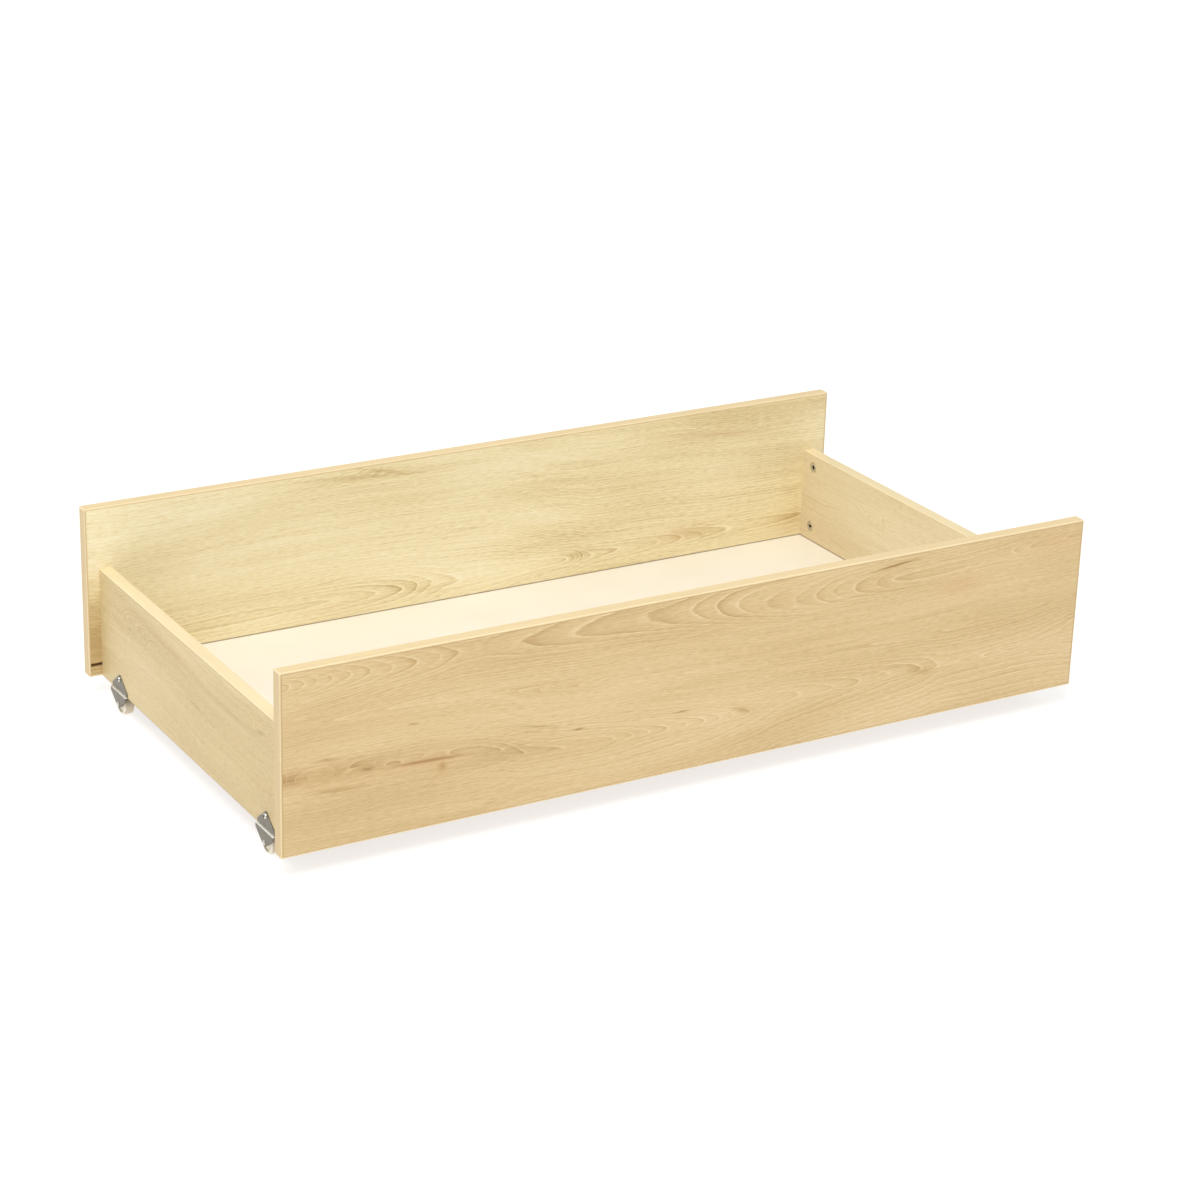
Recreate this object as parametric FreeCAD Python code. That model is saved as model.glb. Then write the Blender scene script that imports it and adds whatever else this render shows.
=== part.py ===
import FreeCAD, Part
import os
from FreeCAD import Vector

# Under-bed storage box: an open-top drawer of 15 mm decor board that rolls on four fixed castors.
# Millimetres. The origin is on the floor under the middle of the box, X runs along its length,
# the front face looks towards -Y, and Z is up. The box is the same after half a turn about Z,
# so the back panel, the right side panel and their hardware are the front and left ones turned.

# ---- driving dimensions -------------------------------------------------------------------------
LENGTH = 985.0               # long panels, end to end
DEPTH = 525.0                # front face to back face
PANEL_HEIGHT = 200.0         # front and back panels
SIDE_HEIGHT = 128.0          # side panels, edge band included
BOARD = 15.0                 # board thickness
END_OVERHANG = 15.5          # long panels reach this far past the side panels' outer faces
WHEEL_RADIUS = 12.5
AXLE_DROP = 14.0             # wheel axis below the underside of the boards
RIDE = WHEEL_RADIUS + AXLE_DROP    # underside of the boards above the floor

LONG_BAND = 2.0              # edge band on all four edges of a long panel
LONG_BAND_ARRIS = 1.2        # rounding of that band's outer arrises
SIDE_BAND = 1.0              # edge band on a side panel's top edge
SIDE_BAND_ARRIS = 0.6

BASE_THICKNESS = 3.0         # fibreboard base
GROOVE_HEIGHT = 3.5
GROOVE_DEPTH = 5.0
GROOVE_RISE = 12.5           # groove's lower face above the underside of the boards
BASE_INSERT = 4.5            # how far the base enters each groove

CASTOR_SETBACK = 68.0        # castor's middle from the front or back face
CASTOR_SHEET = 1.0
CASTOR_HALF_LENGTH = 21.0
CASTOR_JOG = 2.2             # the lower half of the side plate stands this far outboard
AXLE_RADIUS = 1.75
WHEEL_CLEARANCE = 0.05       # radial, on the axle
WHEEL_WIDTH = 12.0
WHEEL_FACE = 0.5             # wheel's outer face stands this far outboard of the side panel

CAM_SETBACK = 22.0           # cam's axis from the side panel's end
JOINT_LEVELS = (34.0, 112.0)       # cam joints above the underside of the boards
DOWEL_LEVEL = 73.0
CAM_RADIUS = 5.9
CAM_HEIGHT = 12.0
CAM_HOLE_RADIUS = 6.0
CAM_HOLE_DEPTH = 12.5
BOLT_RADIUS = 3.0            # threaded end, held in the long panel
BOLT_GRIP = 10.5
DOWEL_RADIUS = 4.0
DOWEL_IN_LONG_PANEL = 10.0
DOWEL_IN_SIDE_PANEL = 20.0
HOLE_EXTRA = 0.5             # blind holes are this much deeper than what they hold

SCREW_RADIUS = 1.75
SCREW_HEAD_RADIUS = 3.1
SCREW_HEAD_HEIGHT = 2.2
SCREW_CLEARANCE = 0.15       # radial, where a screw passes through steel
FLANGE_SCREW_RISE = 15.5     # side plate's screw above the underside of the boards
FLANGE_SCREW_LENGTH = 10.0
WEB_SCREW_OFFSET = 16.0      # fork's screws fore and aft of the wheel's axis
WEB_SCREW_LENGTH = 13.0

# ---- places worked out from them ----------------------------------------------------------------
HALF_LENGTH = LENGTH / 2
HALF_DEPTH = DEPTH / 2
INNER_HALF_DEPTH = HALF_DEPTH - BOARD              # inner faces of the long panels
SIDE_OUTER = HALF_LENGTH - END_OVERHANG            # outer faces of the side panels
SIDE_INNER = SIDE_OUTER - BOARD
SIDE_MIDDLE = SIDE_OUTER - BOARD / 2
PANEL_TOP = RIDE + PANEL_HEIGHT
SIDE_TOP = RIDE + SIDE_HEIGHT
BASE_BOTTOM = RIDE + GROOVE_RISE

X_AXIS = Vector(1, 0, 0)
Y_AXIS = Vector(0, 1, 0)
Z_AXIS = Vector(0, 0, 1)
ORIGIN = Vector(0, 0, 0)


# ---- geometry helpers ---------------------------------------------------------------------------
def block(x0, x1, y0, y1, z0, z1):
    """Box between two corners."""
    return Part.makeBox(x1 - x0, y1 - y0, z1 - z0, Vector(x0, y0, z0))


def rod(start, direction, radius, length):
    """Cylinder that starts at a point and runs along a direction."""
    return Part.makeCylinder(radius, length, start, direction)


def turned(points, start, direction):
    """Solid of revolution from (radius, distance) points, set at start with its axis along direction.

    A point may be a pair, or a triple (radius, distance, "arc") that marks the middle of an arc
    between its two neighbours.
    """
    edges = []
    index = 0
    closed = points + [points[0]]
    while index < len(points):
        here = closed[index]
        following = closed[index + 1]
        if len(following) == 3:
            end = closed[index + 2]
            arc = Part.Arc(Vector(here[0], 0, here[1]), Vector(following[0], 0, following[1]),
                           Vector(end[0], 0, end[1]))
            edges.append(arc.toShape())
            index += 2
        else:
            edges.append(Part.makeLine(Vector(here[0], 0, here[1]), Vector(following[0], 0, following[1])))
            index += 1
    face = Part.Face(Part.Wire(edges))
    solid = face.revolve(ORIGIN, Z_AXIS, 360)
    solid.Placement = FreeCAD.Placement(start, FreeCAD.Rotation(Z_AXIS, direction))
    return solid


def rounded_outline(corners):
    """Closed wire in the Y-Z plane from (y, z, radius) corners, each rounded by a tangent arc."""
    joints = []
    count = len(corners)
    for index, (y, z, radius) in enumerate(corners):
        corner = Vector(0, y, z)
        before = Vector(0, *corners[index - 1][:2]) - corner
        after = Vector(0, *corners[(index + 1) % count][:2]) - corner
        before.normalize()
        after.normalize()
        if radius == 0:
            joints.append((corner, corner, corner))
            continue
        middle = (before + after).normalize()
        cosine = middle.dot(before)
        sine = (1 - cosine * cosine) ** 0.5
        tangent_length = radius * cosine / sine
        centre_distance = radius / sine
        joints.append((corner + before * tangent_length,
                       corner + middle * (centre_distance - radius),
                       corner + after * tangent_length))
    edges = []
    for index, (arc_start, arc_middle, arc_end) in enumerate(joints):
        if arc_start != arc_end:
            edges.append(Part.Arc(arc_start, arc_middle, arc_end).toShape())
        edges.append(Part.makeLine(arc_end, joints[(index + 1) % count][0]))
    return Part.Wire(edges)


def bent_sheet(profile):
    """Sheet bent along Y, from (x, z, radius) corners of its cross-section, as long as a castor."""
    section = rounded_outline([(x, z, radius) for x, z, radius in profile])
    section.rotate(ORIGIN, Z_AXIS, -90)
    section.translate(Vector(0, -CASTOR_HALF_LENGTH, 0))
    return Part.Face(section).extrude(Vector(0, 2 * CASTOR_HALF_LENGTH, 0))


def half_turn(shape):
    """The same shape at the opposite corner of the box."""
    copy = shape.copy()
    copy.rotate(ORIGIN, Z_AXIS, 180)
    return copy


def flipped_in_depth(shape, level):
    """A joint piece of the front-left corner, turned to the back-left corner at the same level."""
    copy = shape.copy()
    copy.rotate(Vector(0, 0, level), X_AXIS, 180)
    return copy


def cross_recess(start, direction, depth, span, width):
    """Cutting tool for a cross-shaped driver recess, sunk into a head along direction."""
    bars = [block(-span / 2, span / 2, -width / 2, width / 2, 0, depth),
            block(-width / 2, width / 2, -span / 2, span / 2, 0, depth)]
    tool = bars[0].fuse(bars[1])
    tool.Placement = FreeCAD.Placement(start, FreeCAD.Rotation(Z_AXIS, direction))
    return tool


def outer_edges(shape, is_outer):
    """Edges whose middle point passes the test."""
    return [edge for edge in shape.Edges if is_outer(edge.CenterOfMass)]


def joint_heights():
    """Heights of the cam joints above the floor."""
    return [RIDE + level for level in JOINT_LEVELS]


# ---- boards -------------------------------------------------------------------------------------
def front_panel():
    board = block(-HALF_LENGTH + LONG_BAND, HALF_LENGTH - LONG_BAND, -HALF_DEPTH, -INNER_HALF_DEPTH,
                  RIDE + LONG_BAND, PANEL_TOP - LONG_BAND)
    cuts = [block(-HALF_LENGTH + LONG_BAND, HALF_LENGTH - LONG_BAND, -INNER_HALF_DEPTH - GROOVE_DEPTH,
                  -INNER_HALF_DEPTH, BASE_BOTTOM, BASE_BOTTOM + GROOVE_HEIGHT)]
    for x in (-SIDE_MIDDLE, SIDE_MIDDLE):
        for z in joint_heights():
            cuts.append(rod(Vector(x, -INNER_HALF_DEPTH, z), -Y_AXIS, BOLT_RADIUS, BOLT_GRIP + HOLE_EXTRA))
        cuts.append(rod(Vector(x, -INNER_HALF_DEPTH, RIDE + DOWEL_LEVEL), -Y_AXIS, DOWEL_RADIUS,
                        DOWEL_IN_LONG_PANEL + HOLE_EXTRA))
    return board.cut(cuts)


def long_band(z0, z1, outer_z):
    """Band along the top or bottom edge of the front panel, over the ends of the end bands."""
    strip = block(-HALF_LENGTH, HALF_LENGTH, -HALF_DEPTH, -INNER_HALF_DEPTH, z0, z1)

    def is_outer(middle):
        on_outer_face = abs(middle.z - outer_z) < 0.01
        on_upright_corner = abs(abs(middle.x) - HALF_LENGTH) < 0.01 and abs(middle.z - (z0 + z1) / 2) < 0.01
        return on_outer_face or on_upright_corner

    return strip.makeFillet(LONG_BAND_ARRIS, outer_edges(strip, is_outer))


def end_band(outer_x):
    """Band on one end of the front panel, between the long bands."""
    inner_x = outer_x - LONG_BAND if outer_x > 0 else outer_x + LONG_BAND
    strip = block(min(outer_x, inner_x), max(outer_x, inner_x), -HALF_DEPTH, -INNER_HALF_DEPTH,
                  RIDE + LONG_BAND, PANEL_TOP - LONG_BAND)
    middle_z = (RIDE + PANEL_TOP) / 2

    def is_outer(middle):
        return abs(middle.x - outer_x) < 0.01 and abs(middle.z - middle_z) < 0.01

    return strip.makeFillet(LONG_BAND_ARRIS, outer_edges(strip, is_outer))


def castor_screw_places():
    """Start, direction and length of the screws of the two left castors."""
    places = []
    for y in (-HALF_DEPTH + CASTOR_SETBACK, HALF_DEPTH - CASTOR_SETBACK):
        places.append((Vector(-SIDE_OUTER - CASTOR_SHEET, y, RIDE + FLANGE_SCREW_RISE), X_AXIS,
                       FLANGE_SCREW_LENGTH))
        for offset in (-WEB_SCREW_OFFSET, WEB_SCREW_OFFSET):
            places.append((Vector(-SIDE_MIDDLE, y + offset, RIDE - CASTOR_SHEET), Z_AXIS,
                           WEB_SCREW_LENGTH))
    return places


def left_side_panel():
    board = block(-SIDE_OUTER, -SIDE_INNER, -INNER_HALF_DEPTH, INNER_HALF_DEPTH, RIDE, SIDE_TOP - SIDE_BAND)
    cuts = [block(-SIDE_INNER - GROOVE_DEPTH, -SIDE_INNER, -INNER_HALF_DEPTH, INNER_HALF_DEPTH,
                  BASE_BOTTOM, BASE_BOTTOM + GROOVE_HEIGHT)]
    for end in (-1, 1):
        end_y = end * INNER_HALF_DEPTH
        inward = Y_AXIS * -end
        for z in joint_heights():
            cam_y = end_y - end * CAM_SETBACK
            cuts.append(rod(Vector(-SIDE_INNER, cam_y, z), -X_AXIS, CAM_HOLE_RADIUS, CAM_HOLE_DEPTH))
            cuts.append(rod(Vector(-SIDE_MIDDLE, end_y, z), inward, BOLT_RADIUS + HOLE_EXTRA, CAM_SETBACK))
        cuts.append(rod(Vector(-SIDE_MIDDLE, end_y, RIDE + DOWEL_LEVEL), inward, DOWEL_RADIUS,
                        DOWEL_IN_SIDE_PANEL + HOLE_EXTRA))
    for start, direction, length in castor_screw_places():
        cuts.append(rod(start, direction, SCREW_RADIUS, length + HOLE_EXTRA))
    return board.cut(cuts)


def left_side_band():
    strip = block(-SIDE_OUTER, -SIDE_INNER, -INNER_HALF_DEPTH, INNER_HALF_DEPTH,
                  SIDE_TOP - SIDE_BAND, SIDE_TOP)

    def is_outer(middle):
        return abs(middle.z - SIDE_TOP) < 0.01 and abs(middle.y) < 0.01

    return strip.makeFillet(SIDE_BAND_ARRIS, outer_edges(strip, is_outer))


def base_panel():
    half_x = SIDE_INNER + BASE_INSERT
    half_y = INNER_HALF_DEPTH + BASE_INSERT
    return block(-half_x, half_x, -half_y, half_y, BASE_BOTTOM, BASE_BOTTOM + BASE_THICKNESS)


# ---- knock-down joints --------------------------------------------------------------------------
def cam_lock(level):
    """Cam of the front-left corner: a die-cast drum with a driver cross and a hook for the bolt."""
    head_room = 3.7
    neck_room = 2.3
    edge_break = 0.5
    cam_y = -INNER_HALF_DEPTH + CAM_SETBACK
    face = Vector(-SIDE_INNER, cam_y, level)
    drum = turned([(0, 0), (CAM_RADIUS - edge_break, 0), (CAM_RADIUS, edge_break),
                   (CAM_RADIUS, CAM_HEIGHT), (0, CAM_HEIGHT)], face, -X_AXIS)
    head_space = block(-SIDE_MIDDLE - head_room, -SIDE_MIDDLE + head_room, cam_y - head_room,
                       cam_y + head_room, level - head_room, level + head_room)
    neck_space = block(-SIDE_MIDDLE - neck_room, -SIDE_MIDDLE + neck_room, cam_y - 2 * CAM_RADIUS, cam_y,
                       level - neck_room, level + neck_room)
    recess = cross_recess(face, -X_AXIS, 3.0, 6.4, 2.2)
    return drum.cut([head_space, neck_space, recess])


def cam_bolt(level):
    """Bolt of the front-left corner, from the cam's middle into the front panel's inner face."""
    head_radius = 3.5
    half_head = 1.4
    neck_radius = 2.0
    neck_end = 8.8
    shank_radius = 3.3
    tip = 1.0
    end = CAM_SETBACK + BOLT_GRIP
    centre = Vector(-SIDE_MIDDLE, -INNER_HALF_DEPTH + CAM_SETBACK, level)
    return turned([(0, -half_head), (head_radius, -half_head), (head_radius, half_head),
                   (neck_radius, half_head), (neck_radius, neck_end), (shank_radius, neck_end),
                   (shank_radius, CAM_SETBACK), (BOLT_RADIUS, CAM_SETBACK), (BOLT_RADIUS, end - tip),
                   (BOLT_RADIUS - tip, end), (0, end)], centre, -Y_AXIS)


def wooden_dowel():
    """Fluted dowel of the front-left corner, across the butt joint."""
    edge_break = 1.0
    flute_radius = 0.35
    flute_count = 12
    length = DOWEL_IN_LONG_PANEL + DOWEL_IN_SIDE_PANEL
    start = Vector(-SIDE_MIDDLE, -INNER_HALF_DEPTH - DOWEL_IN_LONG_PANEL, RIDE + DOWEL_LEVEL)
    pin = turned([(0, 0), (DOWEL_RADIUS - edge_break, 0), (DOWEL_RADIUS, edge_break),
                  (DOWEL_RADIUS, length - edge_break), (DOWEL_RADIUS - edge_break, length), (0, length)],
                 start, Y_AXIS)
    flutes = []
    for index in range(flute_count):
        flute = rod(start + Vector(DOWEL_RADIUS, 0, 0), Y_AXIS, flute_radius, length)
        flute.rotate(start, Y_AXIS, 360 / flute_count * (index + 0.5))
        flutes.append(flute)
    return pin.cut(flutes)


def pan_head_screw(start, direction, length):
    """Chipboard screw: start is the underside of its head, direction is the way it goes in."""
    tip = 3.0
    tip_flat = 0.2
    head_base = 0.5
    shoulder = (2.75, -1.6)
    crown_flat = 1.9
    body = turned([(0, length), (tip_flat, length), (SCREW_RADIUS, length - tip), (SCREW_RADIUS, 0),
                   (SCREW_HEAD_RADIUS, 0), (SCREW_HEAD_RADIUS, -head_base), (*shoulder, "arc"),
                   (crown_flat, -SCREW_HEAD_HEIGHT), (0, -SCREW_HEAD_HEIGHT)], start, direction)
    crown = start - direction * SCREW_HEAD_HEIGHT
    return body.cut(cross_recess(crown, direction, 1.6, 3.4, 0.9))


# ---- castor -------------------------------------------------------------------------------------
# Each castor is made at the front-left corner's place in its own frame: x = 0 on the side panel's
# outer face with -X outboard, y = 0 on the axle, and z = 0 on the underside of the board.
def kite():
    """Outline of the side plate as a thick prism across the castor."""
    half = CASTOR_HALF_LENGTH
    wire = rounded_outline([(half, 5.0, 1.5), (0, 21.4, 4.0), (-half, 5.0, 1.5), (-half, -4.0, 1.5),
                            (0, -19.0, 4.0), (half, -4.0, 1.5)])
    wire.translate(Vector(-BOARD, 0, 0))
    return Part.Face(wire).extrude(Vector(2 * BOARD, 0, 0))


def axle_hole():
    return rod(Vector(-BOARD, 0, -AXLE_DROP), X_AXIS, AXLE_RADIUS, 2 * BOARD)


def castor_side_plate():
    """Kite-shaped plate: the upper half lies on the board, the lower half is jogged outboard."""
    sheet = CASTOR_SHEET
    ear = -CASTOR_JOG
    top = 22.0
    bottom = -20.0
    plate = bent_sheet([(0, top, 0), (-sheet, top, 0), (-sheet, sheet, 0.6), (ear - sheet, sheet, 1.2),
                        (ear - sheet, bottom, 0), (ear, bottom, 0), (ear, 0, 0.6), (0, 0, 1.0)])
    screw_hole = rod(Vector(-BOARD, 0, FLANGE_SCREW_RISE), X_AXIS, SCREW_RADIUS + SCREW_CLEARANCE,
                     2 * BOARD)
    return plate.common(kite()).cut([axle_hole(), screw_hole])


def fork_inner_leg():
    """Outboard and inboard faces of the fork's inner leg."""
    outboard = BOARD - 2.5
    return outboard, outboard + CASTOR_SHEET


def castor_fork():
    """Inverted channel under the board, welded to the side plate's lower half."""
    sheet = CASTOR_SHEET
    outer = -CASTOR_JOG
    leg_out, leg_in = fork_inner_leg()
    bottom = -20.0
    channel = bent_sheet([(outer, 0, 1.4), (outer, bottom, 0), (outer + sheet, bottom, 0),
                          (outer + sheet, -sheet, 0.4), (leg_out, -sheet, 0.4), (leg_out, bottom, 0),
                          (leg_in, bottom, 0), (leg_in, 0, 1.4)])
    holes = [axle_hole()]
    for y in (-WEB_SCREW_OFFSET, WEB_SCREW_OFFSET):
        holes.append(rod(Vector(BOARD / 2, y, -2 * sheet), Z_AXIS, SCREW_RADIUS + SCREW_CLEARANCE, 3 * sheet))
    return channel.common(kite()).cut(holes)


def castor_axle():
    """Rivet through the side plate, both fork legs and the wheel, with a domed head at each end."""
    crown_flat = 0.5
    head_radius = 2.75
    head_height = 1.2
    rim = 0.3
    outer = -CASTOR_JOG - CASTOR_SHEET
    grip = fork_inner_leg()[1] - outer
    crown = head_height * 0.7
    shoulder = head_radius * 0.72
    return turned([(0, -head_height), (crown_flat, -head_height), (shoulder, -crown - rim / 2, "arc"),
                   (head_radius, -rim), (head_radius, 0), (AXLE_RADIUS, 0), (AXLE_RADIUS, grip),
                   (head_radius, grip), (head_radius, grip + rim), (shoulder, grip + crown + rim / 2, "arc"),
                   (crown_flat, grip + head_height), (0, grip + head_height)],
                  Vector(outer, 0, -AXLE_DROP), X_AXIS)


def castor_wheel():
    """Nylon wheel: a rounded tread on a web with a shallow dish, and a hub between the fork legs."""
    hub_clearance = 0.2
    hub_radius = 4.2
    dish_inner = 5.0
    dish_outer = 9.6
    dish = 1.6
    corner = 2.0
    diagonal = corner * (1 - 0.5 ** 0.5)
    bore = AXLE_RADIUS + WHEEL_CLEARANCE
    hub_outboard = -(CASTOR_JOG - CASTOR_SHEET - hub_clearance)
    hub_inboard = fork_inner_leg()[0] - hub_clearance
    outboard = -WHEEL_FACE
    inboard = WHEEL_WIDTH - WHEEL_FACE
    points = [(bore, hub_outboard), (hub_radius, hub_outboard), (hub_radius, outboard + dish),
              (dish_inner, outboard + dish), (dish_outer, outboard + dish), (dish_outer + 0.4, outboard),
              (WHEEL_RADIUS - corner, outboard), (WHEEL_RADIUS - diagonal, outboard + diagonal, "arc"),
              (WHEEL_RADIUS, outboard + corner), (WHEEL_RADIUS, inboard - corner),
              (WHEEL_RADIUS - diagonal, inboard - diagonal, "arc"), (WHEEL_RADIUS - corner, inboard),
              (dish_outer + 0.4, inboard), (dish_outer, inboard - dish), (dish_inner, inboard - dish),
              (hub_radius, inboard - dish), (hub_radius, hub_inboard), (bore, hub_inboard)]
    return turned(points, Vector(0, 0, -AXLE_DROP), X_AXIS)


# ---- assembly -----------------------------------------------------------------------------------
def assemble():
    """Every node of the box, by name, in its place."""
    nodes = {
        "front_panel": front_panel(),
        "front_band_top": long_band(PANEL_TOP - LONG_BAND, PANEL_TOP, PANEL_TOP),
        "front_band_bottom": long_band(RIDE, RIDE + LONG_BAND, RIDE),
        "front_band_left": end_band(-HALF_LENGTH),
        "front_band_right": end_band(HALF_LENGTH),
        "left_side_panel": left_side_panel(),
        "left_side_band": left_side_band(),
        "base_panel": base_panel(),
    }
    opposite = {"front_panel": "back_panel", "front_band_top": "back_band_top",
                "front_band_bottom": "back_band_bottom", "front_band_left": "back_band_right",
                "front_band_right": "back_band_left", "left_side_panel": "right_side_panel",
                "left_side_band": "right_side_band"}
    for name, opposite_name in opposite.items():
        nodes[opposite_name] = half_turn(nodes[name])

    left_cams = []
    left_bolts = []
    for z in joint_heights():
        for group, piece in ((left_cams, cam_lock(z)), (left_bolts, cam_bolt(z))):
            group.append(piece)
            group.append(flipped_in_depth(piece, z))
    dowel = wooden_dowel()
    left_dowels = [dowel, flipped_in_depth(dowel, RIDE + DOWEL_LEVEL)]
    left_screws = [pan_head_screw(*place) for place in castor_screw_places()]
    groups = {"cam_locks": left_cams, "cam_bolts": left_bolts, "wooden_dowels": left_dowels,
              "castor_screws": left_screws}
    for name, pieces in groups.items():
        nodes[name] = Part.makeCompound(pieces + [half_turn(piece) for piece in pieces])

    castor = {"side_plate": castor_side_plate(), "fork": castor_fork(), "axle": castor_axle(),
              "wheel": castor_wheel()}
    corners = {"front_left": (-1, "rear_right"), "rear_left": (1, "front_right")}
    for corner, (end, opposite_corner) in corners.items():
        place = Vector(-SIDE_OUTER, end * (HALF_DEPTH - CASTOR_SETBACK), RIDE)
        for piece, shape in castor.items():
            placed = shape.copy()
            placed.translate(place)
            nodes["castor_" + corner + "_" + piece] = placed
            nodes["castor_" + opposite_corner + "_" + piece] = half_turn(placed)
    return nodes


os.makedirs("parts", exist_ok=True)
for node_name, node_shape in assemble().items():
    if not node_shape.isValid():
        raise ValueError(node_name + " is not a valid shape")
    node_shape.exportStep("parts/" + node_name + ".step")
    print(node_name, len(node_shape.Solids), "solids", round(node_shape.Volume), "mm3")
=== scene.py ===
import math

import bpy
from mathutils import Matrix, Vector


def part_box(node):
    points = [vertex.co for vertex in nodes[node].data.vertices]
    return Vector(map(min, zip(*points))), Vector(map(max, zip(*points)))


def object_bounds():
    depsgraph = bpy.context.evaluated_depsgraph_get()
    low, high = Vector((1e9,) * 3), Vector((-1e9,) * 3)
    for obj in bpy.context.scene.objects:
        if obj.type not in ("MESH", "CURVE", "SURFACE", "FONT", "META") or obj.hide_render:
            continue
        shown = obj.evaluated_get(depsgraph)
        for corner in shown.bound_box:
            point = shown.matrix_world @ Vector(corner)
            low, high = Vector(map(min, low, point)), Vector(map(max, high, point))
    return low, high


# Looks of the under-bed box: camera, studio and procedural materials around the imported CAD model.
# Metres, in the CAD frame: X along the box, the front face towards -Y, Z up, the floor at Z = 0.
# Inside the materials lengths are in millimetres, because that is how board and grain are thought of.
# Colours in whole numbers are sRGB, 0 to 255. The studio's own are linear, 0 to 1.

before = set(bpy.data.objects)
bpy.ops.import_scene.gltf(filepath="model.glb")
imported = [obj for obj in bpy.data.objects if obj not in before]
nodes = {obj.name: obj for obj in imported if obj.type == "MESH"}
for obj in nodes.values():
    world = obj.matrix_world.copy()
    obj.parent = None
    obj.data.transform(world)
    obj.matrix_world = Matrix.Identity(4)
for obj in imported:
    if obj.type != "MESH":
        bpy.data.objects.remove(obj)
cad_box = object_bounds()
MM = 1000.0                  # millimetres in a metre


# ---- camera -------------------------------------------------------------------------------------
CAMERA_PLACE = Vector((-1.6307, -2.7630, 1.4004))
CAMERA_AZIMUTH = -30.893     # degrees, from straight in front of the box
CAMERA_ELEVATION = 21.710
CAMERA_ROLL = 1.778
CAMERA_SENSOR = 36.0         # mm wide
CAMERA_LENS = 92.38          # mm


def make_camera():
    """The view that the box's proportions were fitted in."""
    data = bpy.data.cameras.new("camera")
    data.sensor_width = CAMERA_SENSOR
    data.lens = CAMERA_LENS
    data.clip_start = 0.05
    data.clip_end = 200.0
    camera = bpy.data.objects.new("camera", data)
    bpy.context.scene.collection.objects.link(camera)
    azimuth = math.radians(CAMERA_AZIMUTH)
    elevation = math.radians(CAMERA_ELEVATION)
    roll = math.radians(CAMERA_ROLL)
    back = Vector((math.sin(azimuth) * math.cos(elevation), -math.cos(azimuth) * math.cos(elevation),
                   math.sin(elevation)))
    level_right = Vector((math.cos(azimuth), math.sin(azimuth), 0))
    level_up = back.cross(level_right)
    right = level_right * math.cos(roll) + level_up * math.sin(roll)
    up = level_up * math.cos(roll) - level_right * math.sin(roll)
    turn = Matrix((right, up, back)).transposed().to_4x4()
    camera.matrix_world = Matrix.Translation(CAMERA_PLACE) @ turn
    bpy.context.scene.camera = camera


# ---- studio -------------------------------------------------------------------------------------
DAYLIGHT = (1.0, 0.995, 0.985, 1)
SKY_TOP = 0.74
SKY_HORIZON = 0.27
FLOOR_GREY = 0.37
FLOOR_GLOW = 0.74            # a lit table top, which keeps the shadows as faint as in a catalogue
FLOOR_RINGS = ((60.0, 0.0), (66.0, 6.0))    # half width and height of the flat floor and of its rim
SOFTBOXES = (                # name, place, target, diameter in metres, power in watts
    ("key", (-2.0, -2.3, 5.4), (0, 0, 0.1), 3.6, 253.0),
    ("rim", (-1.9, 3.0, 1.9), (-0.48, 0, 0.03), 1.6, 18.0),
)


def add_softbox(name, place, target, size, power):
    """A round soft lamp that faces its target."""
    data = bpy.data.lights.new(name, "AREA")
    data.shape = "DISK"
    data.size = size
    data.energy = power
    light = bpy.data.objects.new(name, data)
    light.location = place
    light.rotation_mode = "QUATERNION"
    light.rotation_quaternion = (Vector(target) - Vector(place)).to_track_quat("-Z", "Y")
    bpy.context.scene.collection.objects.link(light)


def make_sky():
    """White overhead and grey towards the horizon."""
    world = bpy.data.worlds.new("studio")
    world.use_nodes = True
    tree = world.node_tree
    background = tree.nodes["Background"]
    where = tree.nodes.new("ShaderNodeTexCoord")
    split = tree.nodes.new("ShaderNodeSeparateXYZ")
    tree.links.new(where.outputs["Generated"], split.inputs[0])
    height = Value(tree, split.outputs[2])
    background.inputs["Color"].default_value = DAYLIGHT
    feed(background.inputs["Strength"], height.ramp(-0.1, 1.0) * (SKY_TOP - SKY_HORIZON) + SKY_HORIZON)
    bpy.context.scene.world = world


def make_floor():
    """A lit pale table top. Its rim slopes up, so that a low view meets no dark horizon."""
    corners = []
    for half, height in FLOOR_RINGS:
        corners += [(x * half, y * half, height) for x, y in ((-1, -1), (1, -1), (1, 1), (-1, 1))]
    rim = [(side, side + 4, (side + 1) % 4 + 4, (side + 1) % 4) for side in range(4)]
    mesh = bpy.data.meshes.new("floor")
    mesh.from_pydata(corners, [], [(0, 1, 2, 3), *rim])
    floor = bpy.data.objects.new("floor", mesh)
    bpy.context.scene.collection.objects.link(floor)
    pale = bpy.data.materials.new("floor_paint")
    pale.use_nodes = True
    shader = pale.node_tree.nodes["Principled BSDF"]
    shader.inputs["Base Color"].default_value = (FLOOR_GREY, FLOOR_GREY, FLOOR_GREY, 1)
    shader.inputs["Emission Color"].default_value = DAYLIGHT
    shader.inputs["Emission Strength"].default_value = FLOOR_GLOW
    shader.inputs["Roughness"].default_value = 0.9
    shader.inputs["Specular IOR Level"].default_value = 0.1
    mesh.materials.append(pale)


def make_studio():
    bpy.context.scene.view_settings.view_transform = "Standard"
    make_sky()
    make_floor()
    for softbox in SOFTBOXES:
        add_softbox(*softbox)


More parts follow.
